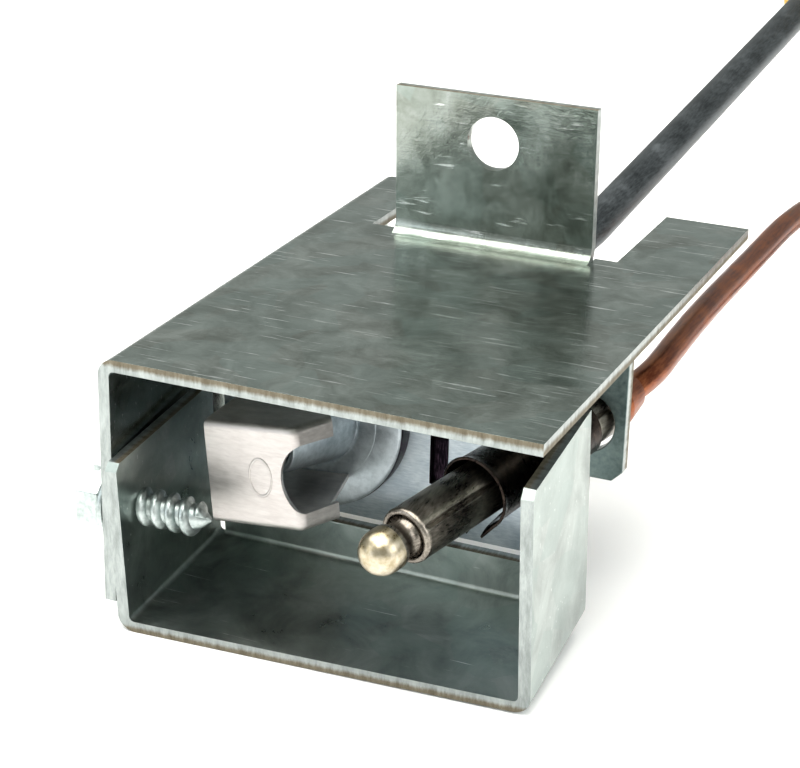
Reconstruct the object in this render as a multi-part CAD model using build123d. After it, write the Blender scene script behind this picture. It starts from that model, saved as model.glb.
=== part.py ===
from build123d import *
import math
import os

# Pilot and thermocouple assembly for a gas burner, in millimetres.
# Working frame while modelling: X to the right along the front edge of the top bracket,
# Y towards the back, Z up, with zero at the bracket's front left top corner.
# At the end every piece is shifted so that the origin is under the middle of the assembly.

# ---- bent sheet steel ----
sheet = 1.3
bend_inside = 0.6
bend_outside = bend_inside + sheet

# ---- top bracket ----
bracket_width = 48.0
bracket_depth = 73.0
bracket_left_flare = 1.7
side_wall_height = 27.5
side_wall_front_length = 22.0
side_wall_rear_height = 11.0
left_strip_width = 6.2
right_ear_width = 10.5
tab_left = 9.9
tab_width = 24.9
tab_front = 52.05
tab_height = 18.2
tab_lean = 2.9
tab_hole_radius = 3.2
tab_hole_from_left = 12.3
tab_hole_height = 12.6
tab_bend_inside = 1.8
tab_bend_relief = 0.3
tab_root_depth = 4.0
tab_hole_reach = 6.0

# ---- lower shield, held by one screw through the left side walls ----
shield_gap = 0.05
shield_front_right = 47.1
shield_toe_in = 0.55
shield_wall_depth = 18.0
shield_floor_depth = 18.7
shield_right_wall = 25.45
shield_left_wall = 20.1
shield_top_corner = 0.8
shield_lip_height = 5.95
shield_lip_clearance = 0.3
shield_lip_root = 3.0
shield_pitch = 5.4
shield_front_offset = 2.12
shield_floor_below_screw = 13.05
shield_front_skew = 2.5

# ---- screw that carries the shield ----
screw_y = 3.8
screw_z = -17.6
screw_shank_radius = 1.35
screw_hole_radius = 1.43
screw_thread_radius = 1.9
screw_thread_pitch = 1.7
screw_reach = 10.6
screw_point_length = 2.4
screw_washer_radius = 3.7
screw_washer_thickness = 0.9
screw_hex_across_flats = 6.2
screw_hex_height = 2.625
screw_slot_width = 1.1
screw_slot_depth = 1.4
screw_hex_chamfer = 0.4
screw_thread_start_gap = 0.2
screw_end_radius = 0.15
thread_rise = 0.35
thread_crest = 0.45
thread_fall = 0.9

# ---- pilot plate, behind the shield ----
plate_thickness = 1.6
plate_front = 26.0
plate_bottom = -25.3
plate_flange_depth = 8.0
plate_flange_short = 4.0
plate_side_gap = 0.1
ear_step_x = 44.0
ear_bottom = -14.8
ear_corner = 1.2
slot_left = 26.0
slot_width = 2.1
slot_depth = 1.1
slot_bottom = -19.4
slot_top = -5.0

# ---- pilot burner ----
burner_disc_radius = 11.05
burner_wall_gap = 0.15
burner_x = sheet + burner_wall_gap + burner_disc_radius
burner_z = -12.9
burner_disc_thickness = 2.4
burner_cone_radius = 5.6
burner_nose_radius = 3.1
burner_nose_length = 10.1
burner_gas_bore = 2.3
burner_stub_radius = 5.0
burner_stub_length = 11.0
stub_clearance = 0.05
burner_nut_across_flats = 15.0
burner_nut_height = 3.4
orifice_radius = 2.6
orifice_length = 3.3
orifice_bore = 0.35
orifice_front_radius = 1.2
orifice_back_radius = 1.4
orifice_cone_length = 1.0
burner_nut_gap = 0.02
ferrule_seat_inset = 0.5
ferrule_seat_depth = 2.5
ferrule_cone_depth = 4.5

# ---- gas tube and its two compression nuts ----
tube_radius = 2.38
tube_wall = 0.75
tube_bend_radius = 15.0
tube_running_gap = 0.05
tube_nut_thread_radius = 3.9
tube_nut_thread_length = 4.7
tube_nut_across_flats = 11.0
tube_nut_hex_length = 6.0
ferrule_radius = 3.4
ferrule_length = 3.6
ferrule_clearance = 0.2
ferrule_widest_start = 1.8
ferrule_widest_end = 2.6
ferrule_front_lip = 0.05
ferrule_back_lip = 0.3
ferrule_to_seat = 0.15
ferrule_to_nut = 0.1
valve_ferrule_setback = 3.0
tube_nut_chamfer = 0.4
tube_nut_neck = 0.3
tube_start_setback = 0.4
tube_first_corner = (burner_x, 48.0, burner_z)
tube_second_corner = (26.1, 76.0, -5.0)
tube_end = (31.66, 195.9, 11.46)

# ---- flame hood ----
hood_sheet = 0.5
hood_width = 10.6
hood_height = 11.7
hood_front = 8.5
hood_right_of_burner = 0.7
hood_below_burner = 1.15
hood_centre_x = burner_x + hood_right_of_burner
hood_centre_z = burner_z - hood_below_burner
hood_roll = 5.5
hood_notch_radius = 4.7
hood_notch_depth = 2.0
hood_flare = 2.4
hood_flare_length = 4.2
hood_waist_length = 2.6
hood_tail_half_width = 3.6
hood_lip_height = 1.6
hood_cone_gap = 0.05

# ---- thermocouple, on its own tilted axis ----
couple_tip_point = (34.19, -5.21, -11.80)
couple_direction = (0.287, 1.0, 0.100)
tip_radius = 2.32
tip_length = 1.8
neck_radius = 1.85
neck_length = 1.5
sheath_radius = 2.9
sheath_wall = 0.65
sheath_bore = sheath_radius - sheath_wall
shank_gap = 0.05
shank_radius = sheath_bore - shank_gap
shank_length = 10.5
sheath_length = 34.2
sheath_chamfer = 0.35
seam_width = 0.25
seam_depth = 0.2
seam_turn = 35
core_radius = 0.55
core_bore = 0.6
core_end_gap = 0.1
insulator_length = 19.0
collar_start = 14.0
collar_front_length = 8.0
collar_length = 17.3
collar_gap = 0.03
collar_bore = sheath_radius + collar_gap
collar_front_wall = 0.77
collar_rear_wall = 0.32
collar_radius = collar_bore + collar_front_wall
collar_rear_radius = collar_bore + collar_rear_wall
collar_slit = 1.1
couple_hole_gap = 0.15
couple_hole_radius = collar_rear_radius + couple_hole_gap
crimp_length = 4.0
crimp_end_radius = 2.1
lead_radius = 1.55

# ---- copper lead: free from the crimp to its connector, points in the finished part's frame ----
lead_straight = 4.0
lead_inside_crimp = 1.9
lead_route = [
    (24.5, -47.45, 24.1),
    (24.1, -32.95, 24.0),
    (23.9, -10.95, 23.2),
    (24.2, 11.65, 23.3),
    (25.6, 32.55, 20.7),
    (28.6, 47.05, 14.4),
    (33.4, 58.25, 9.4),
    (40.5, 66.65, 6.7),
    (50.5, 70.55, 5.4),
]
coil_centre = (54.0, 53.05)
coil_turn_radius = 16.2
coil_lift = 0.6
coil_across = 2
coil_layers = 2
tail_route = [(71.75, 53.05, 2.15), (72.3, 46.05, 3.2), (72.6, 38.05, 4.8), (72.6, 19.05, 4.8)]
tie_width = 3.0
tie_thickness = 0.5
tie_gap = 0.1

# ---- connector on the end of the lead ----
lead_nut_bore_gap = 0.07
lead_nut_across_flats = 9.5
lead_nut_hex_length = 6.0
lead_nut_thread_radius = 4.3
lead_nut_thread_length = 5.6
contact_cone_radius = 3.2
contact_cone_length = 4.6
contact_washer_radius = 2.7
contact_washer_thickness = 1.0
contact_button_radius = 2.2
contact_button_height = 1.3


def axis_y(radius_length_points, x, z):
    """Solid of revolution about an axis along Y; points are (radius, y)."""
    outline = Polyline(*[(x + r, y) for r, y in radius_length_points], close=True)
    face = make_face(Plane.XY * outline)
    turned = revolve(face, axis=Axis((x, 0, 0), (0, 1, 0)))
    return Pos(0, 0, z) * turned


def on_axis(solid, point, direction):
    """Carry a solid built along +Z from zero onto a line in space."""
    return Plane(origin=point, z_dir=direction).location * solid


def turned_profile(radius_height_points):
    """Solid of revolution about Z; points are (radius, height)."""
    outline = Polyline(*[(r, 0, h) for r, h in radius_height_points], close=True)
    return revolve(make_face(outline), axis=Axis.Z)


def hex_prism(across_flats, height, chamfer_length=0.5):
    """Hexagon along +Z with its corners turned down at both ends."""
    body = extrude(RegularPolygon(across_flats / 2, 6, major_radius=False), height)
    corner = across_flats / math.sqrt(3)
    flat = across_flats / 2
    envelope = turned_profile([
        (0, 0), (flat, 0), (corner, chamfer_length),
        (corner, height - chamfer_length), (flat, height), (0, height),
    ])
    return body & envelope


def box_between(low, high):
    size = [b - a for a, b in zip(low, high)]
    return Pos(*low) * Box(*size, align=(Align.MIN, Align.MIN, Align.MIN))


# ---------------------------------------------------------------- top bracket
def make_top_bracket():
    def angle_section(left):
        section = make_face(Polyline(
            (left, -side_wall_height), (left, 0), (bracket_width, 0), (bracket_width, -sheet),
            (left + sheet, -sheet), (left + sheet, -side_wall_height), close=True))
        section = fillet(section.vertices().sort_by_distance((left, 0, 0))[0], bend_outside)
        return fillet(section.vertices().sort_by_distance((left + sheet, -sheet, 0))[0], bend_inside)

    # the plate is a little wider at the back than at the front
    front = Plane(origin=(0, 0, 0), x_dir=(1, 0, 0), z_dir=(0, -1, 0))
    rear = Plane(origin=(0, bracket_depth, 0), x_dir=(1, 0, 0), z_dir=(0, -1, 0))
    bracket = loft([front * angle_section(0), rear * angle_section(-bracket_left_flare)], ruled=True)

    # the side wall is full height at the front and slopes up to the back
    waste = Polyline(
        (side_wall_front_length, -side_wall_height - 1), (side_wall_front_length, -side_wall_height),
        (bracket_depth, -side_wall_rear_height), (bracket_depth + 1, -side_wall_rear_height),
        (bracket_depth + 1, -side_wall_height - 1), close=True)
    side = Plane(origin=(-bracket_left_flare - 1, 0, 0), x_dir=(0, 1, 0), z_dir=(1, 0, 0))
    bracket -= extrude(side * make_face(waste), bracket_left_flare + sheet + 3)

    # the mounting tab is bent up out of the back of the plate
    tab_right = tab_left + tab_width
    lean = tab_height * math.tan(math.radians(tab_lean))
    ear_left = bracket_width - right_ear_width
    tab_back = tab_front + sheet
    bracket -= box_between((left_strip_width, tab_back, -sheet - 1), (ear_left, bracket_depth + 1, 1))
    tab_outline = Polyline(
        (tab_front - tab_root_depth, -sheet), (tab_front - tab_root_depth, 0),
        (tab_front, 0), (tab_front - lean, tab_height),
        (tab_back - lean, tab_height), (tab_back, -sheet), close=True)
    tab_section = make_face(tab_outline)
    tab_section = fillet(tab_section.vertices().sort_by_distance((tab_front, 0, 0))[0], tab_bend_inside)
    corner = tab_section.vertices().sort_by_distance((tab_back, -sheet, 0))[0]
    tab_section = fillet(corner, tab_bend_inside + sheet)
    tab_side = Plane(origin=(tab_left, 0, 0), x_dir=(0, 1, 0), z_dir=(1, 0, 0))
    cut_front = tab_front - tab_bend_inside - tab_bend_relief
    bracket -= box_between((tab_left, cut_front, -sheet - 1), (tab_right, tab_back + 1, 1))
    bracket += extrude(tab_side * tab_section, tab_width)

    hole_axis = Plane(origin=(tab_left + tab_hole_from_left, tab_front - tab_hole_reach, tab_hole_height),
                      x_dir=(1, 0, 0), z_dir=(0, 1, 0))
    bracket -= extrude(hole_axis * Circle(tab_hole_radius), 2 * tab_hole_reach)
    screw_axis = Plane(origin=(-1, screw_y, screw_z), x_dir=(0, 1, 0), z_dir=(1, 0, 0))
    bracket -= extrude(screw_axis * Circle(screw_hole_radius), sheet + 2)
    return bracket


# ---------------------------------------------------------------- lower shield
def make_lower_shield():
    left = sheet + shield_gap
    right = shield_front_right

    def channel(right_edge):
        points = [
            (left, shield_left_wall), (left, 0), (right_edge, 0), (right_edge, shield_right_wall),
            (right_edge - sheet, shield_right_wall), (right_edge - sheet, sheet),
            (left + sheet, sheet), (left + sheet, shield_left_wall)]
        face = make_face(Polyline(*points, close=True))
        for x, z, radius in ((left, 0, bend_outside), (right_edge, 0, bend_outside),
                             (right_edge - sheet, sheet, bend_inside),
                             (left + sheet, sheet, bend_inside)):
            face = fillet(face.vertices().sort_by_distance((x, z, 0))[0], radius)
        return face

    # the front edge runs askew: the left wall reaches further forward than the right one
    toe_per_length = shield_toe_in / shield_wall_depth
    front = Plane(origin=(0, -shield_front_skew, 0), x_dir=(1, 0, 0), z_dir=(0, -1, 0))
    rear = Plane(origin=(0, shield_wall_depth, 0), x_dir=(1, 0, 0), z_dir=(0, -1, 0))
    shield = loft([front * channel(right + toe_per_length * shield_front_skew),
                   rear * channel(right - shield_toe_in)], ruled=True)
    over_right = right + 2
    skew_slope = shield_front_skew / (right - left)
    waste = Polyline(
        (left, -shield_front_skew), (over_right, skew_slope * (over_right - right)),
        (over_right, -shield_front_skew - 5), (left - 5, -shield_front_skew - 5),
        (left - 5, -shield_front_skew - skew_slope * 5), close=True)
    shield -= extrude(make_face(waste), shield_right_wall + 5)

    # the top front corners of both walls are taken off
    corner = shield_top_corner
    for wall_left, wall_front, wall_top in (
            (left, -shield_front_skew, shield_left_wall), (right - sheet, 0, shield_right_wall)):
        wall_side = Plane(origin=(wall_left - 1, 0, 0), x_dir=(0, 1, 0), z_dir=(1, 0, 0))
        notch = Polyline(
            (wall_front - 1, wall_top - corner - 1), (wall_front + corner + 1, wall_top + 1),
            (wall_front - 1, wall_top + 1), close=True)
        shield -= extrude(wall_side * make_face(notch), sheet + 2)

    # a low lip is bent up along the back of the floor, clear of both side walls
    lip_left = left + bend_outside + shield_lip_clearance
    lip_right = right - shield_toe_in - bend_outside - shield_lip_clearance
    floor_end = shield_floor_depth
    lip_start = shield_wall_depth - shield_lip_root
    lip_outline = Polyline(
        (lip_start, 0), (floor_end, 0), (floor_end, shield_lip_height),
        (floor_end - sheet, shield_lip_height), (floor_end - sheet, sheet),
        (lip_start, sheet), close=True)
    lip = make_face(lip_outline)
    lip = fillet(lip.vertices().sort_by_distance((floor_end, 0, 0))[0], bend_outside)
    lip = fillet(lip.vertices().sort_by_distance((floor_end - sheet, sheet, 0))[0], bend_inside)
    side = Plane(origin=(lip_left, 0, 0), x_dir=(0, 1, 0), z_dir=(1, 0, 0))
    shield += extrude(side * lip, lip_right - lip_left)

    hole = Plane(origin=(left - 1, shield_front_offset, shield_floor_below_screw),
                 x_dir=(0, 1, 0), z_dir=(1, 0, 0))
    shield -= extrude(hole * Circle(screw_hole_radius), sheet + 2)

    # the screw hole goes to the screw, and the shield leans about it
    shield = Pos(0, -shield_front_offset, -shield_floor_below_screw) * shield
    shield = Rot(X=shield_pitch) * shield
    return Pos(0, screw_y, screw_z) * shield


# ---------------------------------------------------------------- shield screw
def make_shield_screw():
    # the left wall flares outwards, so the washer clears it at its rear edge
    gap = shield_gap + bracket_left_flare * (screw_y + screw_washer_radius) / bracket_depth
    head_end = -gap - screw_washer_thickness
    start = 2 * sheet + shield_gap + screw_thread_start_gap
    points = [(0, -gap - 0.4), (screw_shank_radius, -gap - 0.4), (screw_shank_radius, start)]
    straight_end = screw_reach - screw_point_length
    turns = int((straight_end - start) / screw_thread_pitch)
    for turn in range(turns):
        base = start + turn * screw_thread_pitch
        points += [(screw_thread_radius, base + thread_rise * screw_thread_pitch),
                   (screw_thread_radius, base + thread_crest * screw_thread_pitch),
                   (screw_shank_radius, base + thread_fall * screw_thread_pitch)]
    points += [(screw_shank_radius, straight_end), (screw_end_radius, screw_reach), (0, screw_reach)]
    shank = turned_profile(points)
    washer = Pos(0, 0, head_end) * Cylinder(
        screw_washer_radius, screw_washer_thickness, align=(Align.CENTER, Align.CENTER, Align.MIN))
    head = Pos(0, 0, head_end - screw_hex_height) * hex_prism(
        screw_hex_across_flats, screw_hex_height, screw_hex_chamfer)
    slot = Pos(0, 0, head_end - screw_hex_height) * Box(
        screw_slot_width, 12, 2 * screw_slot_depth)
    screw = shank + washer + head - slot
    return on_axis(screw, (0, screw_y, screw_z), (1, 0, 0))


# ---------------------------------------------------------------- pilot plate
def make_pilot_plate():
    left = sheet + bend_inside + plate_side_gap
    top = -sheet
    right = bracket_width
    outline = Polyline(
        (left, plate_bottom), (left, top), (right, top), (right, ear_bottom + ear_corner),
        (right - ear_corner, ear_bottom), (ear_step_x, ear_bottom), (ear_step_x, plate_bottom), close=True)
    upright = Plane(origin=(0, plate_front, 0), x_dir=(1, 0, 0), z_dir=(0, -1, 0))
    plate = extrude(upright * make_face(outline), -plate_thickness)

    # a flange along the top is welded under the bracket
    plate += box_between((left, plate_front, top - plate_thickness),
                         (right - plate_flange_short, plate_front + plate_flange_depth, top))
    burner_hole = Plane(origin=(burner_x, plate_front - 1, burner_z), x_dir=(1, 0, 0), z_dir=(0, 1, 0))
    plate -= extrude(burner_hole * Circle(burner_stub_radius + stub_clearance), plate_thickness + 2)
    middle_y = plate_front + plate_thickness / 2
    reach = (middle_y - couple_tip_point[1]) / couple_direction[1]
    hole_x = couple_tip_point[0] + reach * couple_direction[0]
    hole_z = couple_tip_point[2] + reach * couple_direction[2]
    couple_hole = Plane(origin=(hole_x, plate_front - 1, hole_z), x_dir=(1, 0, 0), z_dir=(0, 1, 0))
    plate -= extrude(couple_hole * Circle(couple_hole_radius), plate_thickness + 2)
    plate -= box_between((slot_left, plate_front - 1, slot_bottom),
                         (slot_left + slot_width, plate_front + slot_depth, slot_top))
    return plate


# ---------------------------------------------------------------- pilot burner
disc_front = plate_front - burner_disc_thickness
nose_front = disc_front - burner_nose_length
stub_end = plate_front + burner_stub_length
seat_start = plate_front - ferrule_seat_inset
seat_end = plate_front + ferrule_seat_depth
cone_end = plate_front + ferrule_cone_depth
tube_bore = tube_radius + tube_running_gap
nut_bore = tube_nut_thread_radius + tube_running_gap


def make_pilot_burner():
    return axis_y([
        (burner_gas_bore, nose_front), (burner_nose_radius, nose_front),
        (burner_cone_radius, disc_front), (burner_disc_radius, disc_front),
        (burner_disc_radius, plate_front), (burner_stub_radius, plate_front),
        (burner_stub_radius, stub_end), (nut_bore, stub_end), (nut_bore, cone_end),
        (ferrule_radius + ferrule_clearance, cone_end), (tube_bore, seat_end), (tube_bore, seat_start),
        (orifice_radius, seat_start), (orifice_radius, seat_start - orifice_length),
        (burner_gas_bore, seat_start - orifice_length)], burner_x, burner_z)


def make_orifice():
    back = seat_start
    front = seat_start - orifice_length
    return axis_y([(orifice_bore, front), (orifice_front_radius, front),
                   (orifice_radius, front + orifice_cone_length), (orifice_radius, back),
                   (orifice_back_radius, back), (orifice_bore, back - orifice_front_radius)],
                  burner_x, burner_z)


def make_burner_nut():
    nut = hex_prism(burner_nut_across_flats, burner_nut_height)
    nut -= Cylinder(burner_stub_radius + burner_nut_gap, 20)
    return on_axis(nut, (burner_x, plate_front + plate_thickness, burner_z), (0, 1, 0))


# ---------------------------------------------------------------- gas tube
def make_gas_tube():
    start = (burner_x, seat_start + tube_start_setback, burner_z)
    path = FilletPolyline(start, tube_first_corner, tube_second_corner, tube_end,
                          radius=[tube_bend_radius, tube_bend_radius])
    ring = Plane(origin=start, z_dir=(0, 1, 0)) * (
        Circle(tube_radius) - Circle(tube_radius - tube_wall))
    return sweep(ring, path=path)


def make_ferrule():
    bore = tube_radius
    return turned_profile([
        (bore, 0), (bore + ferrule_front_lip, 0), (ferrule_radius, ferrule_widest_start),
        (ferrule_radius, ferrule_widest_end), (bore + ferrule_back_lip, ferrule_length),
        (bore, ferrule_length)])


def make_tube_nut():
    thread_end = tube_nut_thread_length + tube_nut_neck
    thread = turned_profile([
        (tube_bore, 0), (tube_nut_thread_radius - tube_nut_chamfer, 0),
        (tube_nut_thread_radius, tube_nut_chamfer), (tube_nut_thread_radius, thread_end),
        (tube_bore, thread_end)])
    head = Pos(0, 0, thread_end) * hex_prism(tube_nut_across_flats, tube_nut_hex_length)
    return thread + head - Cylinder(tube_bore, 60)


tube_tail = Vector(*tube_end) - Vector(*tube_second_corner)
tube_tail_direction = tube_tail.normalized()


# ---------------------------------------------------------------- flame hood
def make_pilot_hood():
    half_w = hood_width / 2
    half_h = hood_height / 2
    depth = disc_front - hood_front
    # front face in the hood's own frame: X right, Y back, Z up
    face_outline = Rectangle(hood_width, hood_height)
    notch_centre = half_w - hood_notch_depth + hood_notch_radius
    face_outline -= Pos(notch_centre, 0) * Circle(hood_notch_radius)
    front = Plane(origin=(0, 0, 0), x_dir=(1, 0, 0), z_dir=(0, -1, 0))
    hood = extrude(front * face_outline, -hood_sheet)
    flange = make_face(Polyline(
        (-half_w, 0), (half_w, 0), (half_w + hood_flare, hood_flare_length),
        (half_w, hood_flare_length + hood_waist_length), (hood_tail_half_width, depth),
        (-hood_tail_half_width, depth), (-half_w, hood_flare_length + hood_waist_length), close=True))
    edge = math.degrees(math.atan2(hood_flare_length, hood_flare))
    lip_length = math.hypot(hood_flare, hood_flare_length)
    for side in (1, -1):
        outer = side * half_h
        inner = side * (half_h - hood_sheet)
        low = min(outer, inner)
        hood += Pos(0, 0, low) * extrude(flange, hood_sheet)
        lip_low = min(inner, inner - side * hood_lip_height)
        lip = box_between((0, 0, lip_low), (lip_length, hood_sheet, lip_low + hood_lip_height))
        hood += Pos(half_w, 0, 0) * (Rot(Z=edge) * lip)
    hood = Rot(Y=-hood_roll) * hood
    hood = Pos(hood_centre_x, hood_front, hood_centre_z) * hood
    # the flanges are cut away around the burner's cone
    gap = hood_cone_gap
    cone = axis_y([(0, nose_front), (burner_nose_radius + gap, nose_front),
                   (burner_cone_radius + gap, disc_front), (0, disc_front)], burner_x, burner_z)
    return hood - cone


# ---------------------------------------------------------------- thermocouple
def along_couple(solid, distance=0.0):
    unit = Vector(*couple_direction).normalized()
    start = Vector(*couple_tip_point) + unit * distance
    return on_axis(solid, (start.X, start.Y, start.Z), (unit.X, unit.Y, unit.Z))


sheath_start = tip_length + neck_length
sheath_end = sheath_start + sheath_length
shank_end = sheath_start + shank_length
crimp_end = sheath_end + crimp_length


def make_hot_junction():
    body = Cylinder(tip_radius, tip_length, align=(Align.CENTER, Align.CENTER, Align.MIN))
    body += Sphere(tip_radius)
    body += Cylinder(neck_radius, sheath_start + 0.1, align=(Align.CENTER, Align.CENTER, Align.MIN))
    body += Pos(0, 0, sheath_start + 0.1) * Cylinder(
        shank_radius, shank_length - 0.1, align=(Align.CENTER, Align.CENTER, Align.MIN))
    body -= Pos(0, 0, tip_length) * Cylinder(
        core_bore, 60, align=(Align.CENTER, Align.CENTER, Align.MIN))
    return along_couple(body)


def make_sheath():
    sheath = turned_profile([
        (sheath_bore, sheath_start), (sheath_radius - sheath_chamfer, sheath_start),
        (sheath_radius, sheath_start + sheath_chamfer), (sheath_radius, sheath_end),
        (sheath_bore, sheath_end)])
    groove = Pos(-sheath_radius, 0, (sheath_start + sheath_end) / 2) * Box(
        2 * seam_depth, seam_width, sheath_length + 2)
    return along_couple(sheath - Rot(Z=seam_turn) * groove)


def make_core_wire():
    wire = Pos(0, 0, tip_length) * Cylinder(
        core_radius, crimp_end - lead_inside_crimp - core_end_gap - tip_length,
        align=(Align.CENTER, Align.CENTER, Align.MIN))
    return along_couple(wire)


def make_insulator():
    tube = Pos(0, 0, shank_end + 0.2) * (
        Cylinder(shank_radius, insulator_length, align=(Align.CENTER, Align.CENTER, Align.MIN))
        - Cylinder(core_bore, 60))
    return along_couple(tube)


def make_collar():
    taper_end = collar_front_length + 3.0
    collar = turned_profile([
        (collar_bore, 0), (collar_radius - 0.2, 0), (collar_radius, 0.3),
        (collar_radius, collar_front_length), (collar_rear_radius, taper_end),
        (collar_rear_radius, collar_length), (collar_bore, collar_length)])
    slit = Pos(0, -collar_radius, collar_length / 2) * Box(collar_slit, 2 * collar_radius, collar_length + 2)
    return along_couple(Pos(0, 0, collar_start) * (collar - slit))


def make_crimp():
    crimp = turned_profile([
        (core_radius + 0.05, 0), (shank_radius, 0), (shank_radius, 0.05), (sheath_radius, 0.05),
        (sheath_radius, 0.8), (crimp_end_radius, crimp_length), (lead_radius, crimp_length),
        (lead_radius, crimp_length - lead_inside_crimp - 0.1), (core_radius + 0.05, crimp_length - 2.0)])
    return along_couple(Pos(0, 0, sheath_end) * crimp)


nodes = {
    "top_bracket": make_top_bracket(),
    "lower_shield": make_lower_shield(),
    "shield_screw": make_shield_screw(),
    "pilot_plate": make_pilot_plate(),
    "pilot_burner": make_pilot_burner(),
    "gas_orifice": make_orifice(),
    "burner_nut": make_burner_nut(),
    "pilot_hood": make_pilot_hood(),
    "gas_tube": make_gas_tube(),
    "hot_junction": make_hot_junction(),
    "thermocouple_sheath": make_sheath(),
    "core_wire": make_core_wire(),
    "ceramic_insulator": make_insulator(),
    "retaining_collar": make_collar(),
    "lead_crimp": make_crimp(),
}

# the burner end of the tube: ferrule against its seat, nut behind it
ferrule_at = (burner_x, seat_end + ferrule_to_seat, burner_z)
nodes["burner_ferrule"] = on_axis(make_ferrule(), ferrule_at, (0, 1, 0))
burner_end_nut_at = (
    burner_x, seat_end + ferrule_to_seat + ferrule_length + ferrule_to_nut, burner_z)
nodes["burner_tube_nut"] = on_axis(make_tube_nut(), burner_end_nut_at, (0, 1, 0))

# the valve end of the tube: the same pieces the other way round
back_along_tube = tube_tail_direction * -1
valve_ferrule_at = Vector(*tube_end) + back_along_tube * valve_ferrule_setback
nodes["valve_ferrule"] = on_axis(make_ferrule(), tuple(valve_ferrule_at), tuple(back_along_tube))
valve_nut_at = valve_ferrule_at + back_along_tube * (ferrule_length + ferrule_to_nut)
nodes["valve_tube_nut"] = on_axis(make_tube_nut(), tuple(valve_nut_at), tuple(back_along_tube))

# ---------------------------------------------------------------- shift to the origin
rigid = Compound(list(nodes.values()))
reach = rigid.bounding_box()
shift = Vector(-(reach.min.X + reach.max.X) / 2, -(reach.min.Y + reach.max.Y) / 2, -reach.min.Z)
print("shift to the origin", shift)
nodes = {name: Pos(shift.X, shift.Y, shift.Z) * solid for name, solid in nodes.items()}

# ---------------------------------------------------------------- copper lead
def corner_radii(points):
    """Largest easy arc at each corner: 0.45 of the shorter run over tan(half the turn)."""
    radii = []
    for before, corner, after in zip(points, points[1:], points[2:]):
        run_in = Vector(*corner) - Vector(*before)
        run_out = Vector(*after) - Vector(*corner)
        half_turn = math.radians(run_in.get_angle(run_out)) / 2
        radii.append(0.45 * min(run_in.length, run_out.length) / math.tan(half_turn))
    return radii


def make_lead_run(name, points):
    radii = corner_radii(points)
    print(name, "radii", [round(r, 1) for r in radii])
    path = FilletPolyline(*points, radius=radii)
    direction = Vector(*points[1]) - Vector(*points[0])
    start = Plane(origin=points[0], z_dir=(direction.X, direction.Y, direction.Z))
    run = sweep(start * Circle(lead_radius), path=path)
    expected = math.pi * lead_radius ** 2 * path.length
    print(name, "length", round(path.length, 1), "volume", round(run.volume, 1),
          "expected", round(expected, 1))
    return run


def make_lead_coil():
    inner = coil_turn_radius - coil_across * lead_radius
    outer = coil_turn_radius + coil_across * lead_radius
    height = 2 * lead_radius * coil_layers
    ring = extrude(Circle(outer) - Circle(inner), height)
    ring = fillet(ring.edges(), lead_radius * 0.9)
    return Pos(coil_centre[0], coil_centre[1], coil_lift) * ring


def make_coil_tie():
    wide = 2 * coil_across * lead_radius + 2 * tie_gap
    high = 2 * lead_radius * coil_layers + 2 * tie_gap
    middle_z = coil_lift + lead_radius * coil_layers
    band = Box(wide + 2 * tie_thickness, tie_width, high + 2 * tie_thickness) - Box(wide, 2 * tie_width, high)
    band = Pos(coil_turn_radius, 0, middle_z) * band
    return Pos(coil_centre[0], coil_centre[1], 0) * (Rot(Z=200) * band)


exit_unit = Vector(*couple_direction).normalized()
lead_exit = Vector(*couple_tip_point) + exit_unit * crimp_end + shift
print("lead leaves the crimp at", lead_exit, "towards", exit_unit)
lead_start = lead_exit - exit_unit * lead_inside_crimp
lead_bend = lead_exit + exit_unit * lead_straight
nodes["lead"] = make_lead_run("lead", [tuple(lead_start), tuple(lead_bend)] + lead_route)
nodes["lead_coil"] = make_lead_coil()
nodes["coil_tie"] = make_coil_tie()
nodes["lead_tail"] = make_lead_run("tail", tail_route)


def on_tail(solid, back=0.0):
    """Place a solid on the last run of the lead, +Z towards the connector's face."""
    end_x, end_y, end_z = tail_route[-1]
    return on_axis(solid, (end_x, end_y + back, end_z), (0, -1, 0))


cone_front = 1.6
cone_back = cone_front - contact_cone_length
nodes["contact_cone"] = on_tail(turned_profile([
    (lead_radius, cone_back), (lead_radius + 0.35, cone_back), (contact_cone_radius, cone_front - 1.2),
    (contact_cone_radius, cone_front), (core_radius + 0.05, cone_front), (core_radius + 0.05, 0),
    (lead_radius, 0)]))
washer_front = cone_front + contact_washer_thickness
nodes["contact_washer"] = on_tail(turned_profile([
    (core_radius + 0.05, cone_front), (contact_washer_radius, cone_front),
    (contact_washer_radius, washer_front), (core_radius + 0.05, washer_front)]))
button_front = washer_front + contact_button_height
nodes["contact_button"] = on_tail(turned_profile([
    (0, cone_front), (core_radius, cone_front), (core_radius, washer_front),
    (contact_button_radius, washer_front), (contact_button_radius, washer_front + 0.5),
    (contact_button_radius - 0.6, button_front), (0, button_front)]))
nut_bore_radius = lead_radius + lead_nut_bore_gap
nut_front = cone_back - 0.2
nut_thread = turned_profile([
    (nut_bore_radius, nut_front), (lead_nut_thread_radius - 0.4, nut_front),
    (lead_nut_thread_radius, nut_front - 0.4), (lead_nut_thread_radius, nut_front - lead_nut_thread_length),
    (nut_bore_radius, nut_front - lead_nut_thread_length)])
nut_hex = Pos(0, 0, nut_front - lead_nut_thread_length - lead_nut_hex_length) * (
    Rot(Z=30) * hex_prism(lead_nut_across_flats, lead_nut_hex_length))
nodes["lead_nut"] = on_tail(nut_thread + (nut_hex - Cylinder(nut_bore_radius, 80)))

os.makedirs("parts", exist_ok=True)
for name, solid in nodes.items():
    export_step(solid, f"parts/{name}.step")
    print(name, round(solid.volume, 1))
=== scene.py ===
import math

import bmesh
import bpy
from mathutils import Matrix, Vector


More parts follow.
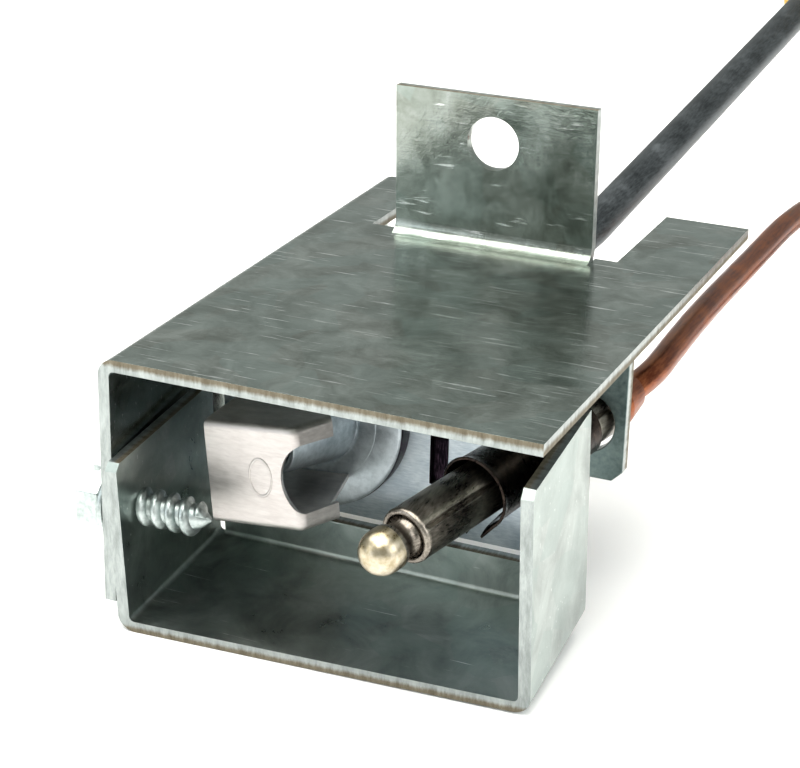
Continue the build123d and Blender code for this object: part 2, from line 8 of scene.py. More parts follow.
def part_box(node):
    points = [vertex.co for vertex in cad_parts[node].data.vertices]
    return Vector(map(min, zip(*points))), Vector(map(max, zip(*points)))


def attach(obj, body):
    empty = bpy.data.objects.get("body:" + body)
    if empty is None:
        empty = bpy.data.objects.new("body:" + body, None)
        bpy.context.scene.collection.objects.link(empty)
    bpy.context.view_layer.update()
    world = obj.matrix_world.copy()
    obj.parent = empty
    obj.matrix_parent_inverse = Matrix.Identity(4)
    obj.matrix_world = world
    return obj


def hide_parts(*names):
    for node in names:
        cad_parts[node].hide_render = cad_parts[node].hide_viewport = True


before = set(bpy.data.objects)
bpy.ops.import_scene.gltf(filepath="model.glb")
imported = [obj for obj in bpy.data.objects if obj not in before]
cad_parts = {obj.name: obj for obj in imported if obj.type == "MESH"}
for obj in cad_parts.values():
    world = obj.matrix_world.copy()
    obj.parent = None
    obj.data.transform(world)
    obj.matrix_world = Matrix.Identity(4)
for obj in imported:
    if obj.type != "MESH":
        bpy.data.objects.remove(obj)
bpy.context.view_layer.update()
print("frame loaded:", len(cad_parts), "nodes")


# small helpers

def mm(value):
    return value / 1000


def perMm(size):
    return 1000 / size  # texture scale for a feature of this many mm on Object coordinates


def linear(hexColour):
    parts = [int(hexColour[i:i + 2], 16) / 255 for i in (1, 3, 5)]
    lin = [p / 12.92 if p <= 0.04045 else ((p + 0.055) / 1.055) ** 2.4 for p in parts]
    return (*lin, 1.0)


def addNode(tree, kind, settings=None, links=None):
    # lower-case names are the node's own settings, the rest are its sockets
    node = tree.nodes.new(kind)
    for name, value in (settings or {}).items():
        if isinstance(name, str) and name[0].islower():
            setattr(node, name, value)
        else:
            node.inputs[name].default_value = value
    for name, source in (links or {}).items():
        tree.links.new(source, node.inputs[name])
    return node


# the bracket's front left top corner is the point that its sizes are given from
bracketLow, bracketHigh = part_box("top_bracket")
bracketWidth = 48.0
sideWallHeight = 27.5
zero = Vector((bracketHigh[0] - mm(bracketWidth), bracketLow[1], bracketLow[2] + mm(sideWallHeight)))


def at(x, y, z):
    return zero + Vector((x, y, z)) / 1000


# camera first, then the copper lead, because both decide what is in view

cameraSetup = {
    "azimuth": 23.33,   # degrees round to the right of straight on
    "elevation": 22.21,
    "roll": 1.42,
    "lens": 91.63,      # mm
    "sensor": 36,
    "place": (103.76, -163.18, 75.88),
    "clip": (0.01, 20),   # m
}


def makeCamera():
    az = math.radians(cameraSetup["azimuth"])
    el = math.radians(cameraSetup["elevation"])
    forward = Vector((-math.sin(az) * math.cos(el), math.cos(az) * math.cos(el), -math.sin(el)))
    right = Vector((math.cos(az), math.sin(az), 0))
    up = right.cross(forward)
    turn = Matrix((right, up, -forward)).transposed().to_4x4()
    roll = Matrix.Rotation(math.radians(cameraSetup["roll"]), 4, "Z")
    data = bpy.data.cameras.new("camera")
    data.sensor_width = cameraSetup["sensor"]
    data.lens = cameraSetup["lens"]
    data.clip_start, data.clip_end = cameraSetup["clip"]
    camera = bpy.data.objects.new("camera", data)
    camera.matrix_world = Matrix.Translation(at(*cameraSetup["place"])) @ turn @ roll
    bpy.context.scene.collection.objects.link(camera)
    bpy.context.scene.camera = camera


# the places are in mm from the frame's own origin
lead = {
    "radius": mm(1.55),
    "inCrimp": mm(1.9),
    "straight": mm(4.0),
    "direction": (0.287, 1.0, 0.100),
    "exit": (23.4606, -59.859, 23.1878),
    "route": [(24.5, -47.45, 24.1), (24.1, -32.95, 24.0), (23.9, -10.95, 23.2), (24.2, 11.65, 23.3),
              (25.6, 32.55, 20.7), (28.6, 47.05, 14.4), (33.4, 58.25, 9.4), (40.5, 66.65, 6.7),
              (50.5, 70.55, 5.4)],
    "coilCentre": (54.0, 53.05),
    "coilRadii": (17.75, 14.65, 14.65, 17.75),
    "coilHeights": (5.25, 5.25, 2.15, 2.15),
    "coilTurns": 3.25,
    "pointsPerTurn": 20,
    "tail": [(71.9, 48.05, 2.6), (72.4, 43.55, 3.6), (72.6, 38.05, 4.8), (72.6, 19.05, 4.8)],
}


def coilPoints():
    # wound clockwise from the back: outer top, inner top, inner bottom, outer bottom,
    # each change of place a little before the back and out of the way of the next one
    changes = ((75, 35), (115, 75), (155, 115))
    steps = round(lead["coilTurns"] * lead["pointsPerTurn"])
    fit = 1 / math.cos(math.pi / lead["pointsPerTurn"])
    points = []
    for step in range(steps + 1):
        wound = step * 360 / lead["pointsPerTurn"]
        radius = lead["coilRadii"][0]
        height = lead["coilHeights"][0]
        for turn, (start, end) in enumerate(changes):
            first = 360 * (turn + 1) - start
            share = min(max((wound - first) / (start - end), 0), 1)
            radius += share * (lead["coilRadii"][turn + 1] - lead["coilRadii"][turn])
            height += share * (lead["coilHeights"][turn + 1] - lead["coilHeights"][turn])
        angle = math.radians(90 - wound)
        points.append((lead["coilCentre"][0] + radius * fit * math.cos(angle),
                       lead["coilCentre"][1] + radius * fit * math.sin(angle), height))
    return points


def makeLead():
    direction = Vector(lead["direction"]).normalized()
    exitPoint = Vector(lead["exit"]) / 1000
    points = [exitPoint - direction * lead["inCrimp"], exitPoint + direction * lead["straight"]]
    points += [Vector(p) / 1000 for p in lead["route"] + coilPoints() + lead["tail"]]
    curve = bpy.data.curves.new("copperLead", "CURVE")
    curve.dimensions = "3D"
    curve.bevel_depth = 1.0  # times each point's own radius
    curve.bevel_resolution = 8
    curve.use_fill_caps = True
    curve.resolution_u = 8
    spline = curve.splines.new("NURBS")
    spline.points.add(len(points) - 1)
    for point, place in zip(spline.points, points):
        point.co = (*place, 1)
        point.radius = lead["radius"]
    spline.order_u = 3
    spline.use_endpoint_u = True
    obj = bpy.data.objects.new("copperLead", curve)
    bpy.context.scene.collection.objects.link(obj)
    return obj


makeCamera()
copperLead = makeLead()
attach(copperLead, "bracket")
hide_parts("lead", "lead_coil", "lead_tail")
print("camera and lead made")


# floor and light

stageSetup = {
    "floor": "#FFFFFF",
    "floorSize": 6.0,
    "world": "#C4C9C6",
    "worldStrength": 0.88,
    "litPoint": (24, 25, -15),   # every light faces this, in mm from the bracket's corner
}

lights = {
    # name: (place from the bracket's corner in mm, width and height in m, watts, colour)
    "topSoftbox": ((-60, -60, 620), (0.9, 0.7), 10.5, "#FFFDF8"),
    "frontLeftSoftbox": ((-380, -420, 210), (0.34, 0.42), 1.0, "#F4F8FF"),
    "rightSoftbox": ((560, -40, 260), (0.35, 0.35), 1.3, "#FFFFFF"),
}


def makeStage():
    bm = bmesh.new()
    bmesh.ops.create_grid(bm, x_segments=1, y_segments=1, size=stageSetup["floorSize"] / 2)
    mesh = bpy.data.meshes.new("floor")
    bm.to_mesh(mesh)
    bm.free()
    floor = bpy.data.objects.new("floor", mesh)
    bpy.context.scene.collection.objects.link(floor)
    paper = bpy.data.materials.new("palePaperFloor")
    paper.use_nodes = True
    tree = paper.node_tree
    tree.nodes.clear()
    skin = addNode(tree, "ShaderNodeBsdfPrincipled", {
        "Base Color": linear(stageSetup["floor"]), "Roughness": 0.9})
    addNode(tree, "ShaderNodeOutputMaterial", {}, {"Surface": skin.outputs["BSDF"]})
    mesh.materials.append(paper)
    world = bpy.data.worlds.new("studio")
    world.use_nodes = True
    back = world.node_tree.nodes["Background"]
    back.inputs["Color"].default_value = linear(stageSetup["world"])
    back.inputs["Strength"].default_value = stageSetup["worldStrength"]
    bpy.context.scene.world = world
    bpy.context.scene.view_settings.view_transform = "Standard"
    for name, (place, size, watts, colour) in lights.items():
        data = bpy.data.lights.new(name, "AREA")
        data.shape = "RECTANGLE"
        data.size, data.size_y = size
        data.energy = watts
        data.color = linear(colour)[:3]
        lamp = bpy.data.objects.new(name, data)
        position = at(*place)
        facing = (at(*stageSetup["litPoint"]) - position).to_track_quat("-Z", "Y")
        lamp.matrix_world = Matrix.Translation(position) @ facing.to_matrix().to_4x4()
        bpy.context.scene.collection.objects.link(lamp)


makeStage()
print("stage and lights made")


# materials

def startMetal(name, settings):
    # a metal shader and its Object coordinates, ready for patterns
    mat = bpy.data.materials.new(name)
    mat.use_nodes = True
    tree = mat.node_tree
    tree.nodes.clear()
    coords = addNode(tree, "ShaderNodeTexCoord").outputs["Object"]
    skin = addNode(tree, "ShaderNodeBsdfPrincipled", settings)
    addNode(tree, "ShaderNodeOutputMaterial", {}, {"Surface": skin.outputs["BSDF"]})
    return mat, tree, coords, skin


# hot-dip galvanised steel: a soft mirror with faint crystals, rolling scratches and pale oxide
galvanised = {
    "dark": "#73786F", "light": "#A4AAA4", "tint": "#8FA09B",
    "spangle": 4.5,         # mm across a zinc crystal
    "blotch": 5.0,          # mm across a cloud of oxide
    "scratchWidth": 0.30,   # mm, drawn wider than the real rolling marks so that it shows
    "scratchLength": 7.0,
    "fleck": "#F2F4F2",
    "fleckFrom": 0.640,     # more of the sheet is scratched bright as this drops
    "fleckEdge": 0.07,
    "roughness": (0.13, 0.27),
    "grit": 1.1,            # mm, the fine worming of the zinc
    "waves": 14,            # mm across the sheet's slow waves, and their height
    "ripple": 0.22,
    "bump": 0.05,
}


def galvanisedSheet(name, changes=None):
    sheet = {**galvanised, **(changes or {})}
    mat, tree, coords, skin = startMetal(name, {"Metallic": 1.0})
    along = addNode(tree, "ShaderNodeMapping", {"Scale": (
        perMm(sheet["scratchLength"]), perMm(sheet["scratchWidth"]), perMm(sheet["scratchWidth"] * 3))},
        {"Vector": coords})
    scratches = addNode(tree, "ShaderNodeTexNoise", {
        "Scale": 1.0, "Detail": 3.0, "Roughness": 0.6, "Distortion": 0.25},
        {"Vector": along.outputs["Vector"]})
    crystals = addNode(tree, "ShaderNodeTexVoronoi", {
        "Scale": perMm(sheet["spangle"]), "Randomness": 1.0}, {"Vector": coords})
    crystal = addNode(tree, "ShaderNodeSeparateColor", {}, {"Color": crystals.outputs["Color"]})
    blotches = addNode(tree, "ShaderNodeTexNoise", {
        "Scale": perMm(sheet["blotch"]), "Detail": 7.0, "Roughness": 0.66, "Distortion": 0.5},
        {"Vector": coords})
    cloud = addNode(tree, "ShaderNodeMapRange", {"From Min": 0.36, "From Max": 0.64},
                    {"Value": blotches.outputs["Fac"]})
    base = addNode(tree, "ShaderNodeMix", {
        "data_type": "RGBA", 6: linear(sheet["dark"]), 7: linear(sheet["light"])},
        {0: cloud.outputs["Result"]})
    grit = addNode(tree, "ShaderNodeTexNoise", {
        "Scale": perMm(sheet["grit"]), "Detail": 4.0, "Roughness": 0.7, "Distortion": 1.2},
        {"Vector": coords})
    faint = addNode(tree, "ShaderNodeMapRange", {"To Max": 0.45}, {"Value": crystal.outputs["Red"]})
    tinted = addNode(tree, "ShaderNodeMix", {"data_type": "RGBA", 7: linear(sheet["tint"])},
                     {0: faint.outputs["Result"], 6: base.outputs[2]})
    bright = addNode(tree, "ShaderNodeMapRange", {
        "From Min": sheet["fleckFrom"], "From Max": sheet["fleckFrom"] + sheet["fleckEdge"]},
        {"Value": scratches.outputs["Fac"]})
    colour = addNode(tree, "ShaderNodeMix", {"data_type": "RGBA", 7: linear(sheet["fleck"])},
                     {0: bright.outputs["Result"], 6: tinted.outputs[2]})
    tree.links.new(colour.outputs[2], skin.inputs["Base Color"])
    low, high = sheet["roughness"]
    gloss = addNode(tree, "ShaderNodeMapRange", {
        "From Min": 0.3, "From Max": 0.7, "To Min": low, "To Max": high},
        {"Value": blotches.outputs["Fac"]})
    tree.links.new(gloss.outputs["Result"], skin.inputs["Roughness"])
    waves = addNode(tree, "ShaderNodeTexNoise", {"Scale": perMm(sheet["waves"]), "Detail": 1.0},
                    {"Vector": coords})
    slow = addNode(tree, "ShaderNodeBump", {"Strength": 0.35, "Distance": mm(sheet["ripple"])},
                   {"Height": waves.outputs["Fac"]})
    worming = addNode(tree, "ShaderNodeBump", {"Strength": 0.3, "Distance": mm(sheet["bump"])},
                      {"Height": grit.outputs["Fac"], "Normal": slow.outputs["Normal"]})
    fine = addNode(tree, "ShaderNodeBump", {"Strength": 0.25, "Distance": mm(sheet["bump"])},
                   {"Height": scratches.outputs["Fac"], "Normal": worming.outputs["Normal"]})
    tree.links.new(fine.outputs["Normal"], skin.inputs["Normal"])
    return mat


# the cut edge of coated sheet: a bright burnished band, and a torn band with rusty streaks
cutEdge = {
    "burnished": ("#838987", "#A8AEAC"), "torn": ("#625A4A", "#878070"),
    "streak": (1.1, 0.3, 1.0),   # streaks to the mm along and across the edge
    "wander": 0.6,               # how far the streaks shift the line between the bands
    "tornFrom": (0.62, 0.95),    # across the edge, where the torn band gives way
    "roughness": (0.30, 0.60),
    "relief": 0.1,               # mm
}


def shearedEdge(name):
    mat, tree, coords, skin = startMetal(name, {"Metallic": 0.85})
    across = addNode(tree, "ShaderNodeUVMap", {"uv_map": "acrossEdge"})
    place = addNode(tree, "ShaderNodeSeparateXYZ", {}, {"Vector": across.outputs["UV"]})
    stretched = addNode(tree, "ShaderNodeMapping", {"Scale": cutEdge["streak"]},
                        {"Vector": across.outputs["UV"]})
    streaks = addNode(tree, "ShaderNodeTexNoise", {"Scale": 1.0, "Detail": 6.0, "Roughness": 0.75},
                      {"Vector": stretched.outputs["Vector"]})
    wander = addNode(tree, "ShaderNodeMath", {"operation": "MULTIPLY_ADD", 1: cutEdge["wander"]},
                     {0: streaks.outputs["Fac"], 2: place.outputs["Y"]})
    torn = addNode(tree, "ShaderNodeMapRange", {
        "From Min": cutEdge["tornFrom"][0], "From Max": cutEdge["tornFrom"][1], "To Min": 1.0, "To Max": 0.0},
        {"Value": wander.outputs["Value"]})
    contrast = addNode(tree, "ShaderNodeMapRange", {"From Min": 0.36, "From Max": 0.64},
                       {"Value": streaks.outputs["Fac"]})
    rusty = addNode(tree, "ShaderNodeMix", {
        "data_type": "RGBA", 6: linear(cutEdge["torn"][0]), 7: linear(cutEdge["torn"][1])},
        {0: contrast.outputs["Result"]})
    bright = addNode(tree, "ShaderNodeMix", {
        "data_type": "RGBA", 6: linear(cutEdge["burnished"][0]), 7: linear(cutEdge["burnished"][1])},
        {0: contrast.outputs["Result"]})
    colour = addNode(tree, "ShaderNodeMix", {"data_type": "RGBA"},
                     {0: torn.outputs["Result"], 6: bright.outputs[2], 7: rusty.outputs[2]})
    tree.links.new(colour.outputs[2], skin.inputs["Base Color"])
    gloss = addNode(tree, "ShaderNodeMapRange", {
        "To Min": cutEdge["roughness"][0], "To Max": cutEdge["roughness"][1]},
        {"Value": torn.outputs["Result"]})
    tree.links.new(gloss.outputs["Result"], skin.inputs["Roughness"])
    relief = addNode(tree, "ShaderNodeBump", {"Strength": 0.5, "Distance": mm(cutEdge["relief"])},
                     {"Height": streaks.outputs["Fac"]})
    tree.links.new(relief.outputs["Normal"], skin.inputs["Normal"])
    return mat


# every other metal: its colour and gloss wander with its grain, and with wider clouds of wear
wornFinish = {
    "metallic": 1.0,
    "stretch": (1, 1, 1),     # how the grain is drawn out along X, Y and Z
    "turn": (0, 0, 0),
    "spread": (0.38, 0.62),   # the part of the pattern over which dark turns to light
    "bump": 0.03,             # mm
    "cloud": 9,               # a cloud of wear is this many grains wide
    "rings": None,            # (centre, mm between a lathe's rings) about Y
}
waveRadians = 20  # what Blender's wave texture turns through in one unit



def wornMetal(name, dark, light, roughness, grain, **changes):
    finish = {**wornFinish, **changes}
    mat, tree, coords, skin = startMetal(name, {"Metallic": finish["metallic"]})
    place = addNode(tree, "ShaderNodeMapping", {"Rotation": finish["turn"], "Scale": finish["stretch"]},
                    {"Vector": coords})
    grains = addNode(tree, "ShaderNodeTexNoise", {
        "Scale": perMm(grain), "Detail": 5.0, "Roughness": 0.62, "Distortion": 0.2},
        {"Vector": place.outputs["Vector"]})
    clouds = addNode(tree, "ShaderNodeTexNoise", {"Scale": perMm(grain * finish["cloud"]), "Detail": 3.0},
                     {"Vector": coords})
    wear = addNode(tree, "ShaderNodeMath", {"operation": "ADD"},
                   {0: grains.outputs["Fac"], 1: clouds.outputs["Fac"]})
    share = addNode(tree, "ShaderNodeMapRange", {
        "From Min": 2 * finish["spread"][0], "From Max": 2 * finish["spread"][1]},
        {"Value": wear.outputs["Value"]})
    colour = addNode(tree, "ShaderNodeMix", {"data_type": "RGBA", 6: linear(dark), 7: linear(light)},
                     {0: share.outputs["Result"]})
    tree.links.new(colour.outputs[2], skin.inputs["Base Color"])
    gloss = addNode(tree, "ShaderNodeMapRange", {"To Min": roughness[0], "To Max": roughness[1]},
                    {"Value": share.outputs["Result"]})
    tree.links.new(gloss.outputs["Result"], skin.inputs["Roughness"])
    height = grains
    if finish["rings"]:
        centre, pitch = finish["rings"]
        centred = addNode(tree, "ShaderNodeMapping", {"Location": [-c for c in centre]},
                          {"Vector": coords})
        height = addNode(tree, "ShaderNodeTexWave", {
            "wave_type": "RINGS", "rings_direction": "Y", "Scale": perMm(pitch) * math.tau / waveRadians,
            "Distortion": 0.6, "Detail": 2.0, "Detail Scale": 3.0}, {"Vector": centred.outputs["Vector"]})
    relief = addNode(tree, "ShaderNodeBump", {"Strength": 0.5, "Distance": mm(finish["bump"])},
                     {"Height": height.outputs["Fac"]})
    tree.links.new(relief.outputs["Normal"], skin.inputs["Normal"])
    return mat


# shapes

cleaning = {"merge": 0.002, "flat": 0.4}   # mm between corners, degrees between faces


def copyOfNode(node):
    # the frame's mesh is loose triangles: its corners are merged and its flats made whole again
    bm = bmesh.new()
    bm.from_mesh(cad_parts[node].data)
    bmesh.ops.remove_doubles(bm, verts=bm.verts, dist=mm(cleaning["merge"]))
    bmesh.ops.dissolve_limit(bm, angle_limit=math.radians(cleaning["flat"]), verts=bm.verts,
                             edges=bm.edges, use_dissolve_boundaries=False)
    bm.normal_update()
    return bm


cutFace = {
    "longEdge": 1.5,   # times the sheet's thickness
    "widest": 1.08,
    "square": 50,      # degrees, and sharper, between the faces of a long edge
}


def markCutEdges(bm, gauge):
    # faces as narrow as the sheet is thick, with square long edges, show how it was cut
    uv = bm.loops.layers.uv.new("acrossEdge")
    middle = sum((v.co for v in bm.verts), Vector()) / len(bm.verts)
    for face in bm.faces:
        width = 2 * face.calc_area() / face.calc_perimeter()
        longEdges = [e for e in face.edges if e.calc_length() > cutFace["longEdge"] * mm(gauge)]
        square = longEdges and all(
            e.is_manifold and e.calc_face_angle(0) > math.radians(cutFace["square"]) for e in longEdges)
        if width > mm(gauge) * cutFace["widest"] or not square:
            continue
        face.material_index = 1
        along = max(face.edges, key=lambda e: e.calc_length())
        alongWay = (along.verts[1].co - along.verts[0].co).normalized()
        acrossWay = alongWay.cross(face.normal).normalized()
        if acrossWay.dot(face.calc_center_median() - middle) < 0:
            acrossWay = -acrossWay
        lowest = min(acrossWay.dot(v.co) for v in face.verts)
        for loop in face.loops:
            spot = loop.vert.co
            loop[uv].uv = (alongWay.dot(spot) * 1000, (acrossWay.dot(spot) - lowest) / mm(gauge))


def finishPiece(name, bm, materials, body, nodes, slot, bevel=0.0, segments=2, sharp=35):
    mesh = bpy.data.meshes.new(name)
    bm.to_mesh(mesh)
    bm.free()
    for mat in materials:
        mesh.materials.append(mat)
    mesh.polygons.foreach_set("use_smooth", [True] * len(mesh.polygons))
    mesh.set_sharp_from_angle(angle=math.radians(sharp))
    obj = bpy.data.objects.new(name, mesh)
    bpy.context.scene.collection.objects.link(obj)
    if bevel:
        rounding = obj.modifiers.new("rounding", "BEVEL")
        rounding.width = mm(bevel)
        rounding.segments = segments
        rounding.limit_method = "ANGLE"
        rounding.angle_limit = math.radians(sharp)
    weighting = obj.modifiers.new("evenShading", "WEIGHTED_NORMAL")
    weighting.keep_sharp = False
    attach(obj, body)
    if nodes:
        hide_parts(*nodes)
    return obj


sheetGauge = 1.3
plateGauge = 1.6
sheetRounding = {"bevel": 0.14, "segments": 3}
edgeMetal = shearedEdge("shearedGalvanisedEdge")


def makeBracket():
    bm = copyOfNode("top_bracket")
    markCutEdges(bm, sheetGauge)
    finishPiece("topBracket", bm, [galvanisedSheet("galvanisedTopSheet"), edgeMetal], "bracket",
                ["top_bracket"], "galvanised_sheet", **sheetRounding)


# the shield is the same sheet, paler with oxide and less scratched
shieldChanges = {
    "dark": "#858C88", "light": "#B7BEBA", "blotch": 7.0, "fleckFrom": 0.68, "roughness": (0.26, 0.42),
}


def makeShield():
    bm = copyOfNode("lower_shield")
    markCutEdges(bm, sheetGauge)
    finishPiece("lowerShield", bm, [galvanisedSheet("galvanisedShieldSheet", shieldChanges), edgeMetal],
                "shield", ["lower_shield"], "galvanised_sheet", **sheetRounding)


makeBracket()
makeShield()
print("sheet metal made")


# turned and formed pieces

def spun(bm, geom, angle, steps, rise=0, merge=False):
    return bmesh.ops.spin(bm, geom=geom, cent=(0, 0, 0), axis=(0, 0, 1), dvec=(0, 0, rise), angle=angle,
                          steps=steps, use_merge=merge, use_normal_flip=False, use_duplicate=False)


def turned(points, steps=96, closed=False, angle=360):
    # a profile of (radius, height) in mm, spun about Z
    bm = bmesh.new()
    verts = [bm.verts.new((mm(r), 0, mm(h))) for r, h in points]
    pairs = list(zip(verts, verts[1:] + verts[:1])) if closed else list(zip(verts, verts[1:]))
    edges = [bm.edges.new(pair) for pair in pairs]
    spun(bm, verts + edges, math.radians(angle), steps, merge=angle == 360)
    bmesh.ops.remove_doubles(bm, verts=bm.verts, dist=mm(0.001))
    bmesh.ops.dissolve_degenerate(bm, dist=mm(0.0005), edges=bm.edges)
    bmesh.ops.recalc_face_normals(bm, faces=bm.faces)
    return bm


def helix(thread, start, end, stepsPerTurn=40):
    # one rib of a screw thread, wound about Z with the operator's own rise
    bm = bmesh.new()
    foot, half, tip = thread["core"] - thread["sink"], thread["ribFoot"] / 2, thread["ribTip"] / 2
    points = [(foot, start - half), (thread["crest"], start - tip),
              (thread["crest"], start + tip), (foot, start + half)]
    verts = [bm.verts.new((mm(r), 0, mm(h))) for r, h in points]
    edges = [bm.edges.new(pair) for pair in zip(verts, verts[1:] + verts[:1])]
    bm.faces.new(verts)
    turns = (end - start) / thread["pitch"]
    made = spun(bm, verts + edges, math.tau * turns, round(turns * stepsPerTurn),
                rise=mm(thread["pitch"] / stepsPerTurn))
    last = [v for v in made["geom_last"] if isinstance(v, bmesh.types.BMVert)]
    bmesh.ops.contextual_create(bm, geom=last)
    bmesh.ops.recalc_face_normals(bm, faces=bm.faces)
    return bm


def joined(first, second):
    # puts the second mesh into the first
    spare = bpy.data.meshes.new("spare")
    second.to_mesh(spare)
    second.free()
    first.from_mesh(spare)
    bpy.data.meshes.remove(spare)
    return first


def aim(bm, origin, direction):
    # turns Z to the direction and moves the shape to the origin
    turn = Vector(direction).to_track_quat("Z", "Y").to_matrix().to_4x4()
    bmesh.ops.transform(bm, matrix=Matrix.Translation(origin) @ turn, verts=bm.verts)


# clear zinc plating: a pale blue-white satin, brushed flat on the plate
zincPlating = wornMetal("clearZincPlate", "#BCC9D3", "#E6EEF4", (0.46, 0.58), 0.35, stretch=(0.35, 1, 1.6),
                        bump=0.05, metallic=0.7)
# the same plating over turned steel keeps the lathe's rings
turnedZinc = wornMetal("turnedZincPlate", "#A4AEB4", "#D3DBE0", (0.32, 0.46), 0.8, bump=0.03, metallic=0.85,
                       rings=(at(12.5, 20, -12.9), 2.8274))
# stamped stainless strip: a bright warm white with soft streaks
stainless = wornMetal("stampedStainless", "#B9B3B0", "#DAD5D2", (0.42, 0.56), 0.9, stretch=(0.5, 1, 2.2),
                      bump=0.012)
# barrel-plated screw: bright, slightly pitted
brightZinc = wornMetal("barrelZincScrew", "#8E9896", "#C6CECC", (0.30, 0.44), 0.5, bump=0.04)
# alloy bead: silvery, tinted gold and brown by the flame
flameBead = wornMetal("flameTintedBead", "#948665", "#D2C9B6", (0.26, 0.40), 1.1, bump=0.03,
                      spread=(0.40, 0.60))
# sheath darkened by heat: grey-brown with worn pale streaks along it
heatSteel = wornMetal("heatDarkenedSteel", "#5E5851", "#B3AB9F", (0.26, 0.40), 0.5, stretch=(2.2, 0.25, 2.2),
                      turn=(0, 0, math.radians(16)), bump=0.02, spread=(0.40, 0.68))
# blued spring steel: near black with a brown cast
bluedSpring = wornMetal("bluedSpringSteel", "#151211", "#4A3F38", (0.24, 0.40), 0.7, bump=0.02,
                        spread=(0.44, 0.72))
# free-cutting brass, turned
brass = wornMetal("turnedBrass", "#A98542", "#DDBE76", (0.24, 0.38), 0.5, bump=0.02)
# coated steel tube: dull dark grey, drawn lengthwise
greyTube = wornMetal("dullCoatedTube", "#33373A", "#666B6E", (0.36, 0.52), 0.5, stretch=(2.0, 0.2, 2.0),
                     spread=(0.40, 0.66))
# drawn copper, browned in store, drawn lengthwise
copper = wornMetal("brownedDrawnCopper", "#693119", "#A8653F", (0.28, 0.44), 0.45, stretch=(2.0, 0.15, 2.0),
                   bump=0.015, spread=(0.40, 0.68))
# the same galvanised sheet, darker, on the pilot plate's ear
darkZinc = wornMetal("darkerEarZinc", "#4C5958", "#6D7B79", (0.30, 0.46), 0.6, bump=0.04)
# painted shade and shadow: near black with faint lighter streaks, put inside the slot and on the burner's rim
# for the dark seen there
paintedShadeDark = wornMetal("paintedShadeSlotAndRim", "#0E0B10", "#4A3B48", (0.35, 0.55), 0.25, stretch=(2.5, 1, 0.2),
                      bump=0.05, spread=(0.47, 0.60))
# fired alumina bead: a dull off-white
alumina = wornMetal("firedAlumina", "#D9D3C6", "#EFEBE2", (0.55, 0.70), 0.4, metallic=0.0, bump=0.02)
# pressed fibre washer: a flat red-brown board
fibre = wornMetal("pressedFibre", "#6E3B2A", "#8E5540", (0.70, 0.85), 0.3, metallic=0.0, bump=0.04)
# soft solder: a rounded grey-white button
solder = wornMetal("softSolder", "#9B9FA1", "#C8CBCC", (0.30, 0.42), 0.6, bump=0.02)
copperLead.data.materials.append(copper)
print("materials made")


# each piece's sizes are in mm

screw = {
    "place": (0, 3.8, -17.6),
    # (radius, height) of the outline, the head being below zero
    "washer": [(0, -1.075), (3.45, -1.075), (3.7, -0.825), (3.7, -0.325), (3.55, -0.225)],
    "point": [(0.9, 10.0), (0.12, 10.9), (0, 10.9)],
    "hexFlats": 6.2, "hexFrom": -1.065, "hexHeight": 2.625, "slotWidth": 1.1, "slotDepth": 1.4,
    "core": 1.42, "crest": 2.05, "pitch": 1.7,
    "ribFoot": 1.4, "ribTip": 0.45, "sink": 0.05,   # the rib's widths, and its foot below the core
    "threadStart": 2.4, "straightEnd": 8.9, "threadEnd": 9.9,
    "ribShrink": 0.42, "shrinkLength": 1.3, "leastShrink": 0.35,
}


def makeScrew():
    shank = [(screw["core"], screw["washer"][-1][1]), (screw["core"], screw["straightEnd"])]
    bm = turned(screw["washer"] + shank + screw["point"], steps=64)
    rib = helix(screw, screw["threadStart"], screw["threadEnd"])
    for vert in rib.verts:
        past = vert.co.z - mm(screw["straightEnd"])
        if past > 0:
            shrink = max(screw["leastShrink"], 1 - screw["ribShrink"] * past / mm(screw["shrinkLength"]))
            vert.co.x *= shrink
            vert.co.y *= shrink
    # the hexagon stands on the washer, and its slot is left between two raised halves
    head = bmesh.new()
    corner = screw["hexFlats"] / math.sqrt(3)
    bmesh.ops.create_circle(head, cap_ends=True, segments=6, radius=mm(corner))
    bmesh.ops.translate(head, verts=head.verts, vec=(0, 0, mm(screw["hexFrom"])))
    grown = bmesh.ops.extrude_face_region(head, geom=head.faces[:])
    raised = [v for v in grown["geom"] if isinstance(v, bmesh.types.BMVert)]
    bmesh.ops.translate(head, verts=raised, vec=(0, 0, -mm(screw["hexHeight"] - screw["slotDepth"])))
    slotSide = mm(screw["slotWidth"] / 2)
    for side in (1, -1):
        bmesh.ops.bisect_plane(head, geom=head.verts[:] + head.edges[:] + head.faces[:],
                               plane_co=(side * slotSide, 0, 0), plane_no=(1, 0, 0))
    slotFloor = min(f.calc_center_median().z for f in head.faces)
    halves = [f for f in head.faces if abs(f.calc_center_median().z - slotFloor) < mm(0.01)
              and abs(f.calc_center_median().x) > slotSide]
    grown = bmesh.ops.extrude_face_region(head, geom=halves)
    bmesh.ops.delete(head, geom=halves, context="FACES")
    raised = [v for v in grown["geom"] if isinstance(v, bmesh.types.BMVert)]
    bmesh.ops.translate(head, verts=raised, vec=(0, 0, -mm(screw["slotDepth"])))
    bmesh.ops.recalc_face_normals(head, faces=head.faces)
    joined(bm, rib)
    joined(bm, head)
    aim(bm, at(*screw["place"]), (1, 0, 0))
    finishPiece("shieldScrew", bm, [brightZinc], "shield_screw", ["shield_screw"], "zinc_screw", bevel=0.1)


pilotPlate = {
    "earFrom": 43.0,   # the ear to the right of this is darker
    "slotBox": ((25.9, 25, -19.5), (28.2, 28, -4.9)),
}


